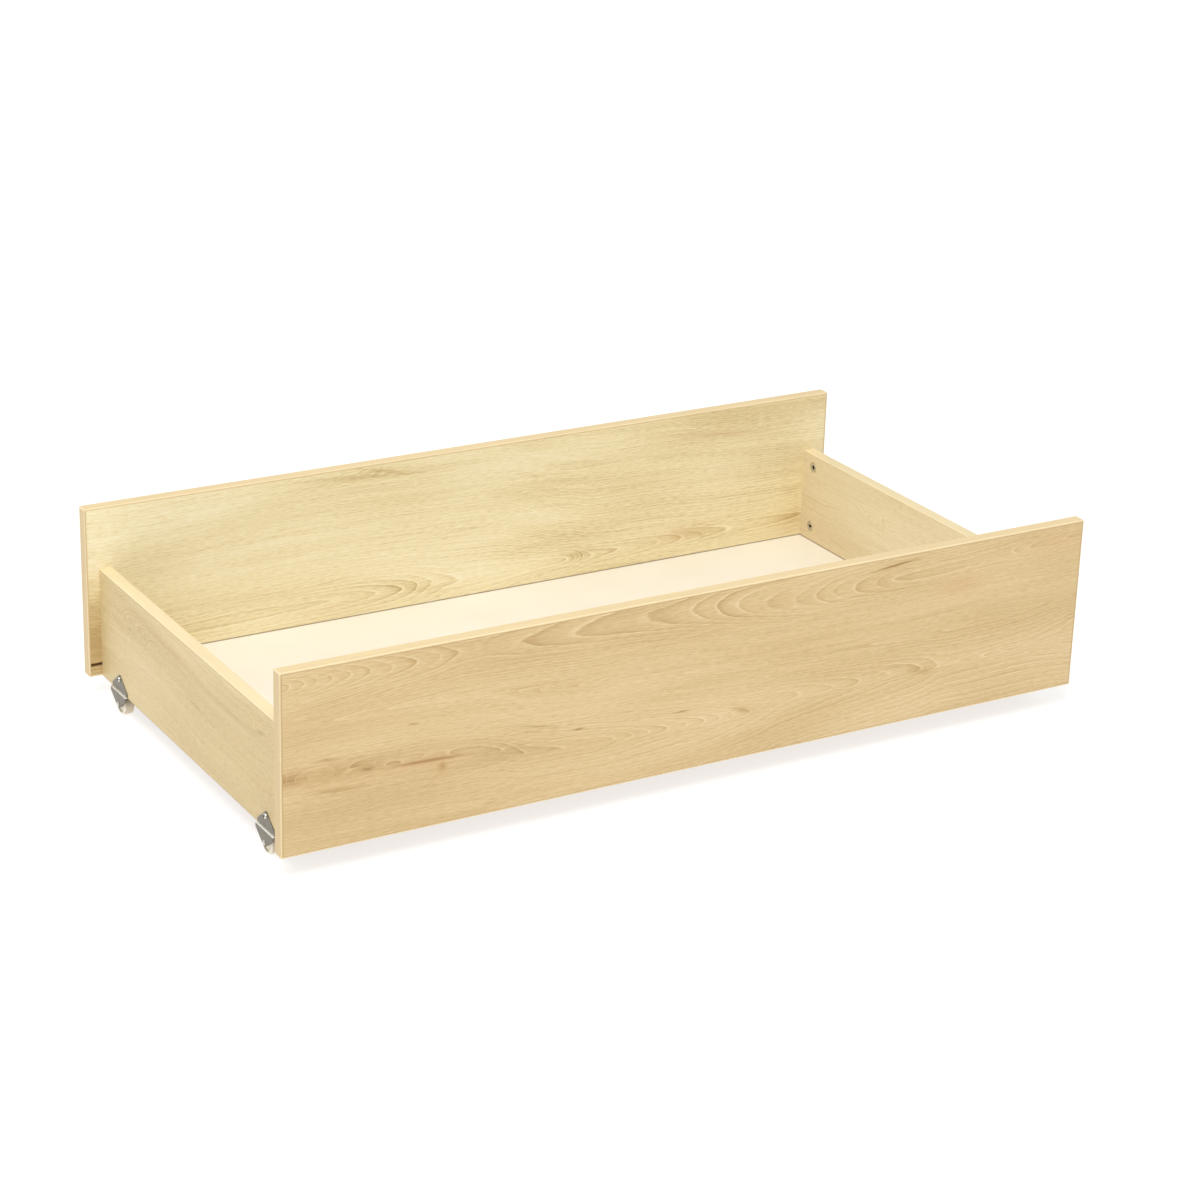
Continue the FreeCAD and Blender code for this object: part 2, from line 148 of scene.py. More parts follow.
# ---- shader arithmetic --------------------------------------------------------------------------
class Value:
    """A shader number or colour. Ordinary arithmetic on it adds nodes to its tree."""

    def __init__(self, tree, socket):
        self.tree = tree
        self.socket = socket

    def math(self, operation, *others):
        node = self.tree.nodes.new("ShaderNodeMath")
        node.operation = operation
        for place, item in enumerate((self, *others)):
            feed(node.inputs[place], item)
        return Value(self.tree, node.outputs[0])

    def __add__(self, other):
        return self.math("ADD", other)

    def __sub__(self, other):
        return self.math("SUBTRACT", other)

    def __mul__(self, other):
        return self.math("MULTIPLY", other)

    def __truediv__(self, other):
        return self.math("DIVIDE", other)

    def __neg__(self):
        return self.math("MULTIPLY", -1.0)

    def __radd__(self, other):
        return self + other

    def __rsub__(self, other):
        return -self + other

    def ramp(self, low, high):
        """0 below low and 1 above high, smoothly; the other way round when low is above high."""
        node = self.tree.nodes.new("ShaderNodeMapRange")
        node.interpolation_type = "SMOOTHSTEP"
        feed(node.inputs["Value"], self)
        node.inputs["From Min"].default_value = min(low, high)
        node.inputs["From Max"].default_value = max(low, high)
        node.inputs["To Min"].default_value = 0.0 if low < high else 1.0
        node.inputs["To Max"].default_value = 1.0 if low < high else 0.0
        return Value(self.tree, node.outputs["Result"])

    def between(self, low, high, blur):
        """1 from low to high and 0 outside, blurred by so much on either side of both."""
        return self.ramp(low - blur, low + blur) * self.ramp(high + blur, high - blur)

    def curve(self, points):
        """A smooth curve through a few (input, output) points."""
        inputs = [point[0] for point in points]
        outputs = [point[1] for point in points]
        reach = inputs[-1] - inputs[0]
        rise = max(outputs) - min(outputs)
        node = self.tree.nodes.new("ShaderNodeFloatCurve")
        line = node.mapping.curves[0]
        for extra in range(len(points) - 2):
            line.points.new(0.5, 0.5)
        for place, (x, y) in enumerate(points):
            line.points[place].location = ((x - inputs[0]) / reach, (y - min(outputs)) / rise)
            line.points[place].handle_type = "AUTO_CLAMPED"
        node.mapping.update()
        feed(node.inputs["Value"], (self - inputs[0]) / reach)
        return Value(self.tree, node.outputs[0]) * rise + min(outputs)


def feed(socket, item):
    """Connects a Value, or sets a plain number or colour."""
    if isinstance(item, Value):
        item.tree.links.new(item.socket, socket)
    else:
        socket.default_value = item


def vector(x, y, z=0.0):
    """Three numbers as one vector."""
    node = x.tree.nodes.new("ShaderNodeCombineXYZ")
    for place, item in enumerate((x, y, z)):
        feed(node.inputs[place], item)
    return Value(x.tree, node.outputs[0])


def noise(u, v, detail=2.0, roughness=0.5, seed=0.0):
    """Smooth noise around 0, mostly between -1 and 1, one feature to each unit of u and v."""
    node = u.tree.nodes.new("ShaderNodeTexNoise")
    node.noise_dimensions = "2D"
    feed(node.inputs["Vector"], vector(u + seed * 13.7, v + seed * 7.3))
    node.inputs["Scale"].default_value = 1.0
    node.inputs["Detail"].default_value = detail
    node.inputs["Roughness"].default_value = roughness
    return (Value(u.tree, node.outputs["Fac"]) - 0.5) * 4.0


def solid_noise(x, y, z, detail=2.0, roughness=0.5):
    """The same in three dimensions, for surfaces that face every way."""
    node = x.tree.nodes.new("ShaderNodeTexNoise")
    feed(node.inputs["Vector"], vector(x, y, z))
    node.inputs["Scale"].default_value = 1.0
    node.inputs["Detail"].default_value = detail
    node.inputs["Roughness"].default_value = roughness
    return (Value(x.tree, node.outputs["Fac"]) - 0.5) * 4.0


def mix(factor, first, second):
    """One colour or number blended into another."""
    node = factor.tree.nodes.new("ShaderNodeMix")
    sample = first if isinstance(first, Value) else second
    colour = isinstance(first, tuple) or isinstance(second, tuple)
    if isinstance(sample, Value) and sample.socket.type == "RGBA":
        colour = True
    node.data_type = "RGBA" if colour else "FLOAT"
    chosen = [socket for socket in node.inputs if socket.enabled]
    feed(chosen[0], factor)
    feed(chosen[1], first)
    feed(chosen[2], second)
    output = [socket for socket in node.outputs if socket.enabled][0]
    return Value(factor.tree, output)


def colour_ramp(value, stops):
    """The colour at a value, from (value, colour) stops."""
    node = value.tree.nodes.new("ShaderNodeValToRGB")
    ramp = node.color_ramp
    for extra in range(len(stops) - 2):
        ramp.elements.new(0.5)
    for element, (place, colour) in zip(ramp.elements, stops):
        element.position = place
        element.color = paint(colour)
    feed(node.inputs["Fac"], value)
    return Value(value.tree, node.outputs["Color"])


def paint(colour):
    """An sRGB colour, 0 to 255, as the linear colour the shader wants."""
    linear = []
    for channel in colour:
        share = channel / 255.0
        linear.append(share / 12.92 if share <= 0.04045 else ((share + 0.055) / 1.055) ** 2.4)
    return (*linear, 1.0)


def new_material(name):
    """A material, its shader and the object's own X, Y and Z in millimetres."""
    material = bpy.data.materials.new(name)
    material.use_nodes = True
    tree = material.node_tree
    shader = tree.nodes["Principled BSDF"]
    coordinates = tree.nodes.new("ShaderNodeTexCoord")
    split = tree.nodes.new("ShaderNodeSeparateXYZ")
    tree.links.new(coordinates.outputs["Object"], split.inputs[0])
    x, y, z = [Value(tree, split.outputs[axis]) * MM for axis in range(3)]
    return material, shader, x, y, z


def normal_sizes(tree):
    """How far the surface faces along each axis of the object, from 0 to 1."""
    coordinates = [node for node in tree.nodes if node.type == "TEX_COORD"][0]
    split = tree.nodes.new("ShaderNodeSeparateXYZ")
    tree.links.new(coordinates.outputs["Normal"], split.inputs[0])
    return [Value(tree, split.outputs[axis]).math("ABSOLUTE") for axis in range(3)]


def bump(height, distance, strength):
    """A normal from a height between 0 and 1 that stands for so many millimetres."""
    node = height.tree.nodes.new("ShaderNodeBump")
    feed(node.inputs["Height"], height)
    node.inputs["Distance"].default_value = distance / MM
    node.inputs["Strength"].default_value = strength
    return Value(height.tree, node.outputs["Normal"])


SOCKET_KINDS = {"VALUE": "NodeSocketFloat", "RGBA": "NodeSocketColor", "VECTOR": "NodeSocketVector"}
shared_groups = {}


def shared(build, values):
    """Runs build(*values) inside a node group, made once, and returns its outputs here."""
    tree = [value for value in values if isinstance(value, Value)][0].tree
    if build.__name__ not in shared_groups:
        group = bpy.data.node_groups.new(build.__name__, "ShaderNodeTree")
        source = group.nodes.new("NodeGroupInput")
        sink = group.nodes.new("NodeGroupOutput")
        names = build.__code__.co_varnames[:len(values)]
        for name in names:
            group.interface.new_socket(name, in_out="INPUT", socket_type="NodeSocketFloat")
        results = build(*[Value(group, source.outputs[place]) for place in range(len(names))])
        for place, result in enumerate(results):
            kind = SOCKET_KINDS[result.socket.type]
            group.interface.new_socket(f"result_{place}", in_out="OUTPUT", socket_type=kind)
            group.links.new(result.socket, sink.inputs[place])
        shared_groups[build.__name__] = group
    node = tree.nodes.new("ShaderNodeGroup")
    node.node_tree = shared_groups[build.__name__]
    for place, value in enumerate(values):
        feed(node.inputs[place], value)
    return [Value(tree, output) for output in node.outputs]


# ---- oak decor ----------------------------------------------------------------------------------
# A figure is the print on one face of a board. u runs along the board and v up it, both in millimetres.
# Each figure gives its ring count, how plainly the rings show, its dark marks and its reddish ones.
def soft_mark(u, v, place_u, place_v, along, across, reach_u, reach_v, strength):
    """One soft ellipse; along and across are the cosine and sine of its tilt."""
    side = u - place_u
    rise = v - place_v
    length = (side * along + rise * across) / reach_u
    height = (rise * along - side * across) / reach_v
    return [(-(length * length + height * height)).math("EXPONENT") * strength]


def marks(u, v, spots):
    """Soft elliptical marks, each ((u, v), (reach along, reach across), tilt in degrees, strength)."""
    total = None
    for place, reach, tilt, strength in spots:
        along = math.cos(math.radians(tilt))
        across = math.sin(math.radians(tilt))
        part = shared(soft_mark, [u, v, *place, along, across, *reach, strength])[0]
        total = part if total is None else total + part
    return total


def cathedral(v, axis, depth, above, below):
    """Growth rings of a board cut near the heart: nested arches around the axis line. depth is the ring
    count on the axis, and arches point to where it grows. above and below are each (reach in
    millimetres, rings per millimetre within that reach, rings per millimetre beyond it)."""
    rise = v - axis
    height = 0.0
    for distance, (reach, close, far) in ((rise.math("MAXIMUM", 0.0), above),
                                          ((-rise).math("MAXIMUM", 0.0), below)):
        near = distance.math("MINIMUM", reach)
        height = near * close + (distance - near) * far + height
    rings = (height * height + depth * depth).math("SQRT")
    return rings, depth / (rings + 0.5)


LOW_RINGS_LATER = 3.0       # rings that the low heart lies behind the top one
HEARTS_BLEND = 6.0          # rings over which the two hearts merge


def long_outer_figure(u, v):
    """Two hearts, one along the top edge and one low down, with a dark knot at the left."""
    top_depth = u.curve([(0, 6.4), (25, 8), (55, 10), (95, 12), (168, 15), (222, 16.65), (278, 16),
                         (338, 15), (412, 14), (470, 13), (530, 11), (600, 9), (650, 7), (705, 5),
                         (735, 4), (870, 3.5), (910, 2), (985, 0.4)])
    top_axis = u.curve([(0, 184), (280, 186), (480, 182), (700, 172), (860, 178), (985, 184)])
    top_tight = u.curve([(0, 0.55), (200, 0.45), (300, 0.32), (985, 0.32)])
    top, top_arch = cathedral(v, top_axis, top_depth, (30, top_tight, 0.32), (12, top_tight, 0.46))
    low_depth = u.curve([(0, 1.0), (200, 2.0), (245, 3), (300, 5), (365, 6), (418, 8), (465, 10),
                         (508, 12), (545, 14), (610, 16), (690, 18), (770, 20), (815, 21.4),
                         (900, 21.3), (960, 20), (985, 19)])
    low_axis = u.curve([(0, 82), (180, 76), (245, 68), (300, 57), (545, 52), (600, 60), (830, 60),
                        (985, 66)])
    tight = u.curve([(0, 0.30), (230, 0.31), (560, 0.54), (985, 0.44)])
    low, low_arch = cathedral(v, low_axis, low_depth, (32, tight, 0.42), (9, 1.0, 0.26))
    low = low + LOW_RINGS_LATER
    rings = top.math("SMOOTH_MIN", low, HEARTS_BLEND)
    arch = mix((low - top).ramp(-4.0, 4.0), low_arch, top_arch)
    rings = rings + marks(u, v, [((35, 82), (42, 9), 0, 5.0), ((92, 78), (16, 6), 0, 3.0),
                                 ((895, 60), (55, 6), 2, -2.4), ((165, 74), (30, 8), 0, 2.4)])
    dark = marks(u, v, [((10, 85), (12, 8), 0, 0.5), ((62, 63), (26, 2.2), -4, 0.5),
                        ((50, 98), (12, 1.6), -3, 0.5), ((163, 74), (30, 1.5), -2, 1.3),
                        ((179, 65), (4, 4), -50, 0.7), ((145, 118), (5, 0.9), -6, 0.8),
                        ((337, 74), (6, 1.0), -2, 0.9), ((462, 69), (9, 1.0), 0, 0.9),
                        ((730, 189), (24, 1.4), 6, 1.1), ((540, 56), (14, 3.5), -16, 0.5),
                        ((772, 58), (16, 6), -10, 0.4), ((235, 12), (5, 0.8), 4, 0.7),
                        ((290, 86), (22, 1.3), -12, 0.5), ((95, 79), (6, 2), 0, 0.6),
                        ((70, 84), (75, 11), 0, 0.36), ((240, 68), (60, 10), -8, 0.16),
                        ((760, 40), (190, 18), 0, 0.16)])
    red = marks(u, v, [((155, 73), (45, 6), 0, 1.0), ((177, 60), (8, 9), 0, 0.9),
                       ((820, 150), (30, 11), 0, 1.0), ((950, 180), (40, 12), 0, 0.7),
                       ((575, 176), (20, 6), 0, 0.4), ((60, 66), (34, 5), 0, 0.6),
                       ((30, 84), (40, 10), 0, 0.5)])
    return rings, arch, dark, red


def long_inner_figure(u, v):
    """One heart low down at the right half, and long wavy grain above it."""
    depth = u.curve([(0, 1.0), (300, 2.0), (390, 4), (430, 6), (462, 7), (580, 7.6), (610, 8),
                     (645, 12), (675, 13), (740, 14), (800, 16), (830, 17), (985, 18)])
    tight = u.curve([(0, 0.22), (330, 0.25), (470, 0.27), (560, 0.45), (640, 0.66), (985, 0.66)])
    axis = u.curve([(0, 30), (300, 40), (460, 39), (985, 44)])
    rings, arch = cathedral(v, axis, depth, (24, tight, 0.36), (24, tight, 0.36))
    lift = u.curve([(0, 0.0), (130, 2.0), (270, 6.4), (420, 7.0), (720, 5.0), (860, 0.6), (985, -1.0)])
    rings = rings - lift * v.ramp(60, 150)
    rings = rings + marks(u, v, [((95, 172), (20, 6), 0, 3.0), ((365, 192), (45, 7), -14, -2.6)])
    dark = marks(u, v, [((365, 190), (30, 2.0), -12, 0.35), ((98, 171), (22, 2), 3, 0.16),
                        ((400, 40), (30, 6), -10, 0.3), ((628, 42), (20, 5), 0, 0.4),
                        ((300, 64), (18, 1.0), 4, 0.4), ((800, 44), (30, 8), -8, 0.25),
                        ((945, 40), (24, 20), 20, 0.30), ((938, 78), (12, 4), 10, 0.2),
                        ((40, 165), (90, 40), 0, 0.10), ((22, 118), (34, 22), 0, -0.12),
                        ((940, 150), (110, 70), 0, 0.16), ((70, 28), (120, 34), 0, 0.17),
                        ((330, 187), (80, 3), -4, 0.26), ((480, 191), (520, 18), 0, 0.15),
                        ((140, 82), (120, 45), 0, -0.09), ((890, 46), (75, 24), 0, 0.15)])
    red = marks(u, v, [((775, 45), (40, 9), 0, 0.8), ((820, 168), (70, 5), -6, 0.8),
                       ((930, 35), (40, 22), 0, 0.3), ((300, 30), (60, 8), 0, 0.4)])
    arch = arch + marks(u, v, [((270, 172), (190, 26), 0, 0.22), ((98, 172), (50, 12), 0, 0.45),
                               ((350, 189), (80, 9), -5, 0.35)])
    return rings, arch, dark, red


def side_outer_figure(u, v):
    """Nearly straight rings that close around a knot near each end."""
    level = u.curve([(0, 0.0), (100, 2.0), (200, 1.0), (300, -3.0), (400, -5.0), (450, -2.0),
                     (525, 0.0)])
    rings = v * 0.30 + level + 12.0
    rings = rings + marks(u, v, [((412, 85), (34, 9), 0, 6.0), ((430, 84), (62, 24), 0, 3.4),
                                 ((84, 100), (30, 8), -8, 4.4), ((245, 78), (40, 8), 0, -1.5)])
    dark = marks(u, v, [((150, 94), (75, 4), 0, 0.22), ((330, 106), (95, 4), 5, 0.20),
                        ((440, 90), (62, 20), 0, 0.14), ((250, 67), (16, 1.4), 3, 0.4),
                        ((82, 101), (14, 2.4), -12, 0.3), ((160, 44), (85, 20), 0, -0.18)])
    red = marks(u, v, [((300, 108), (60, 6), 4, 0.25)])
    arch = marks(u, v, [((425, 88), (74, 26), 0, 0.85), ((250, 102), (150, 16), 3, 0.30),
                        ((84, 98), (50, 18), 0, 0.85)]) + 0.10
    return rings, arch, dark, red


def side_inner_figure(u, v):
    """Nearly straight rings with one swirl."""
    level = u.curve([(0, 0.0), (160, 1.4), (330, -0.6), (525, 1.0)])
    rings = v * 0.30 + level + 30.0
    rings = rings + marks(u, v, [((352, 82), (32, 9), 6, 6.0), ((470, 60), (40, 14), -6, 2.4),
                                 ((150, 60), (50, 14), 0, 3.0)])
    dark = marks(u, v, [((352, 80), (26, 7), 4, 0.12), ((420, 30), (20, 1.4), 3, 0.3)])
    red = marks(u, v, [((450, 25), (60, 20), 0, 0.3)])
    arch = marks(u, v, [((352, 80), (70, 28), 0, 1.5), ((470, 60), (60, 30), 0, 0.8),
                        ((150, 60), (60, 30), 0, 0.5)]) + 0.15
    return rings, arch, dark, red


COMB_PITCH = 3.0            # mm from one fine grain line to the next


def ring_lines(u, rings, arch, seed):
    """The late wood that darkens towards the edge of each ring, and the pale early wood after it."""
    count = rings.math("FLOOR")
    phase = rings.math("FRACT")
    pick = u.tree.nodes.new("ShaderNodeTexWhiteNoise")
    pick.noise_dimensions = "1D"
    feed(pick.inputs["W"], count + seed)
    chance = Value(u.tree, pick.outputs["Value"])
    late = (phase.ramp(0.66, 0.94) * 0.55 + phase.ramp(0.10, 0.95) * 0.45) * phase.ramp(1.0, 0.94)
    early = phase.ramp(0.22, 0.02)
    patchy = noise(u / 120.0, rings / 1.5, 1.0, 0.5, seed + 7.0).ramp(-0.9, 0.9)
    strength = (chance * 0.6 + 0.4) * (patchy * 0.7 + 0.4) * (arch.math("SQRT") * 1.05 + 0.02)
    return late * strength, early * strength


def oak_decor(u, v, rings, arch, dark, red, seed):
    """The printed oak from its ring field and the marks on it: tone, blush, roughness and height. Each
    noise has its own length along the grain and width across it, in millimetres or rings."""
    sway = v + noise(u / 260.0, v / 60.0, 1.0, 0.5, seed + 1.0) * 4.0
    fibre = noise(u / 10.0, sway / 1.2, 1.0, 0.5, seed + 29.0)
    wander = noise(u / 90.0, v / 18.0, 1.0, 0.5, seed)
    drift = noise(u / 340.0, v / 45.0, 1.0, 0.5, seed + 3.0)
    rings = rings + wander * 0.14 + drift * 0.25 + fibre * 0.02
    late, early = ring_lines(u, rings, arch, seed)

    cloud = noise(u / 320.0, v / 70.0, 1.0, 0.5, seed + 11.0)
    band = noise(u / 420.0, rings / 3.2, 2.0, 0.6, seed + 17.0)
    ribbon = noise(u / 240.0, sway / 8.0, 1.0, 0.5, seed + 19.0)
    streak = noise(u / 210.0, sway / 3.0 + rings * 0.3, 2.0, 0.6, seed + 23.0)
    hair = noise(u / 150.0, sway / 1.7, 1.0, 0.5, seed + 43.0).ramp(0.45, 1.10)
    pore_run = noise(u / 8.0, v / 0.5, 1.0, 0.4, seed + 31.0)
    pore_home = noise(u / 40.0, v / 4.0 + rings * 0.3, 1.0, 0.6, seed + 37.0)
    pore = pore_run.ramp(0.65, 1.1) * pore_home.ramp(-0.7, 0.8)
    bend = noise(u / 105.0, v / 10.0, 1.0, 0.5, seed + 51.0)
    comb = ((sway / COMB_PITCH + bend * 0.8) * math.tau).math("SINE")
    comb = comb * (noise(u / 20.0, v / 4.0, 1.0, 0.5, seed + 57.0) * 0.6 + 0.6)

    tone = (cloud * 0.38 + band * 0.16 + ribbon * 0.08 + streak * 0.12 + fibre * 0.30 + comb * 0.22
            - hair * 0.24 - late * 1.05 + early * 0.85 - pore * 0.7 - dark * 2.3)
    blush = red * (0.34 + streak * 0.06)
    rough = 0.46 + fibre * 0.02 + pore * 0.10
    height = 0.6 + fibre * 0.10 - pore * 0.45 - late * 0.12
    return tone / 4.0 + 0.64, blush, rough, height


def faces(node, axis):
    """Where a CAD node begins and ends along an axis, in millimetres."""
    low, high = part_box(node)
    return low[axis] * MM, high[axis] * MM


CORE_STOPS = [(0.0, (120, 90, 58)), (0.5, (170, 138, 98)), (1.0, (206, 180, 140))]


def chipboard(x, y, z):
    """The bare core that shows inside grooves and bores and on an unbanded edge."""
    chips = solid_noise(x / 2.2, y / 2.2, z / 1.1, 3.0, 0.7)
    return colour_ramp(chips / 3.0 + 0.5, CORE_STOPS)


X_AXIS = 0
Y_AXIS = 1
Z_AXIS = 2

CAM_RADIUS = 5.9            # mm
DECOR_DEPTH = 0.35          # mm of printed face over the bare core
FACE_SHIFT = 1700.0         # mm along the print from what one face shows to what the other shows
LINE_WIDTH = 0.45           # mm, of a glue line beside an edge band and of the painted shade ring at the edge of a bore
LINE_BLUR = 0.15
INNER_GLUE = 0.3            # share of the glue line's darkness that is left on an inner face
SHADED_HEIGHT = 55.0        # mm below the side panels' tops in which the painted shade on the overhanging ends becomes full
SHADED_TONE = 0.34
GAP_BELOW = 4.0             # mm that the painted shade of the gap around the base reaches below the base's top
GAP_ABOVE = 1.1             # mm that it reaches above the base's top

BLUSH = (206, 160, 112)
GLUE = (168, 132, 90)
BOARD_GAP = (150, 124, 88)
BORE_EDGE = (128, 104, 74)


def overhang_shade(x, z):
    """Painted shade: 1 low down on the ends of a long panel that reach past the side panels, in the
    corner beside them.
    """
    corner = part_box("right_side_panel")[1]
    beyond = x.math("ABSOLUTE").math("GREATER_THAN", corner.x * MM - 1.0)
    return beyond * z.ramp(corner.z * MM + 4.0, corner.z * MM - SHADED_HEIGHT)


def cam_edges(y, z):
    """Painted shade: 1 on a thin ring round each of a side panel's cam locks, in the gap round the
    lock.
    """
    low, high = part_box("cam_locks")
    aside = y.math("ABSOLUTE") - (high.y * MM - CAM_RADIUS)
    above = (z - (low.z + high.z) * MM / 2).math("ABSOLUTE")
    above = above - ((high.z - low.z) * MM / 2 - CAM_RADIUS)
    distance = (aside * aside + above * above).math("SQRT")
    return distance.between(CAM_RADIUS, CAM_RADIUS + LINE_WIDTH, LINE_BLUR)


def board_material(name, through_axis, sides, seed):
    """A melamine-faced board. sides gives the figure and the tones of its low face and then of its high
    face along the axis through its thickness. The high face reads backwards, as from behind."""
    material, shader, x, y, z = new_material(name + "_decor")
    long_panel = through_axis == Y_AXIS
    run_axis = X_AXIS if long_panel else Y_AXIS
    through = y if long_panel else x
    run = x if long_panel else y
    low, high = faces(name, through_axis)
    start, end = [corner[run_axis] * MM for corner in cad_box]
    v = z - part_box("front_band_bottom")[0].z * MM
    on_high = through.math("GREATER_THAN", (low + high) / 2)
    inward = on_high if low + high < 0 else 1.0 - on_high

    (low_figure, low_stops), (high_figure, high_stops) = sides
    fields = []
    for u, figure in ((run - start, low_figure), (end - run, high_figure)):
        fields.append((u, *shared(figure, [u, v])))
    u, rings, arch, dark, red = [mix(on_high, first, second) for first, second in zip(*fields)]
    u = u + on_high * FACE_SHIFT
    tone, blush, rough, height = shared(oak_decor, [u, v, rings, arch, dark, red, seed])
    if long_panel:
        # painted shade low on the overhanging ends, in the corner beside the side panels
        tone = tone - overhang_shade(x, z) * inward * SHADED_TONE
    colour = mix(on_high, colour_ramp(tone, low_stops), colour_ramp(tone, high_stops))
    colour = mix(blush, colour, paint(BLUSH))

    foot, head = faces(name, Z_AXIS)
    clear = z.between(foot + LINE_WIDTH, head - LINE_WIDTH, LINE_BLUR)
    if long_panel:
        near, far = faces(name, run_axis)
        clear = clear * run.between(near + LINE_WIDTH, far - LINE_WIDTH, LINE_BLUR)
    colour = mix((1.0 - clear) * (1.0 - inward * (1.0 - INNER_GLUE)), colour, paint(GLUE))
    base_top = faces("base_panel", Z_AXIS)[1]
    # painted shade in the gap where the base meets the board's inner face
    gap = z.between(base_top - GAP_BELOW, base_top + GAP_ABOVE, 0.25)
    colour = mix(gap * inward * 0.6, colour, paint(BOARD_GAP))
    if not long_panel:
        # painted shade in the thin gap round each cam lock
        colour = mix(cam_edges(y, z) * inward * 0.6, colour, paint(BORE_EDGE))
    core = through.between(low + DECOR_DEPTH, high - DECOR_DEPTH, 0.05)
    colour = mix(core, colour, chipboard(x, y, z))

    feed(shader.inputs["Base Color"], colour)
    feed(shader.inputs["Roughness"], mix(core, rough, 0.85))
    shader.inputs["Specular IOR Level"].default_value = 0.35
    feed(shader.inputs["Normal"], bump(height, 0.12, 0.35))
    return material


# PALE_STOPS, for the long panels' inner faces, is lighter than WARM_STOPS for their outer faces:
# painted light for the brighter light inside the box.
WARM_STOPS = [(0.0, (162, 126, 76)), (0.35, (193, 163, 112)),
              (0.62, (214, 187, 138)), (1.0, (236, 214, 174))]
PALE_STOPS = [(0.14, (186, 158, 108)), (0.41, (219, 199, 151)),
              (0.62, (241, 227, 185)), (0.91, (255, 248, 224))]
SIDE_STOPS = [(0.0, (183, 155, 113)), (0.35, (211, 190, 149)),
              (0.62, (229, 213, 176)), (1.0, (244, 233, 205))]
GREY_STOPS = [(0.0, (158, 124, 77)), (0.35, (190, 163, 114)),
              (0.62, (211, 189, 140)), (1.0, (232, 213, 173))]


def use(node, material):
    """Gives a CAD node its material in every slot."""
    mesh = nodes[node].data
    if not mesh.materials:
        mesh.materials.append(material)
    for place in range(len(mesh.materials)):
        mesh.materials[place] = material


def make_boards():
    long_sides = [(long_outer_figure, WARM_STOPS), (long_inner_figure, PALE_STOPS)]
    short_sides = [(side_outer_figure, GREY_STOPS), (side_inner_figure, SIDE_STOPS)]
    boards = [("front_panel", Y_AXIS, long_sides, 2.0),
              ("back_panel", Y_AXIS, long_sides[::-1], 5.0),
              ("left_side_panel", X_AXIS, short_sides, 9.0),
              ("right_side_panel", X_AXIS, short_sides[::-1], 13.0)]
    for name, through_axis, sides, seed in boards:
        use(name, board_material(name, through_axis, sides, seed))


# ---- edge bands, base, metal and plastic ---------------------------------------------------------
# The upright strips (Z) get a darker tone than the level ones: painted shade for their sideways faces.
BAND_TONES = {"X": (226, 203, 157), "Y": (231, 213, 170), "Z": (210, 185, 138)}
WORN_ARRIS = (250, 234, 196)


def shift(colour, step):
    """A colour made lighter or darker by the same step in each channel."""
    return tuple(channel + step for channel in colour)


def band_material(name, run):
    """Wood-print edging whose grain runs along the strip, with a painted highlight on its rounded
    arrises.
    """
    material, shader, x, y, z = new_material(name)
    along, first, second = {"X": (x, y, z), "Y": (y, x, z), "Z": (z, x, y)}[run]
    across = first + second * 0.8
    streak = noise(along / 60.0, across / 1.6, 2.0, 0.6, 3.0)
    cloud = noise(along / 140.0, across / 20.0, 1.0, 0.5, 5.0)
    pore = noise(along / 5.0, across / 0.35, 1.0, 0.5, 7.0).ramp(0.7, 1.1)
    tone = streak * 0.10 + cloud * 0.08 - pore * 0.10 + 0.55
    tint = BAND_TONES[run]
    stops = [(0.0, shift(tint, -30)), (0.5, tint), (1.0, shift(tint, 14))]
    sizes = normal_sizes(x.tree)
    flat = sizes[0].math("MAXIMUM", sizes[1]).math("MAXIMUM", sizes[2])
    arris = flat.ramp(0.995, 0.93)
    # painted highlight on the rounded arrises
    colour = mix(arris * 0.42, colour_ramp(tone, stops), paint(WORN_ARRIS))
    feed(shader.inputs["Base Color"], colour)
    feed(shader.inputs["Roughness"], 0.42 + streak * 0.03)
    shader.inputs["Specular IOR Level"].default_value = 0.45
    feed(shader.inputs["Normal"], bump(streak * 0.3 - pore * 0.3 + 0.5, 0.06, 0.4))
    return material


CREAM_STOPS = [(0.0, (222, 212, 193)), (0.6, (236, 230, 216)), (1.0, (240, 236, 224))]
FIBRE_STOPS = [(0.0, (108, 78, 50)), (0.5, (146, 110, 74)), (1.0, (178, 142, 102))]
BASE_GAP = (176, 148, 108)
BASE_GAP_WIDTH = 0.8         # mm of the base's edge that gets painted shade


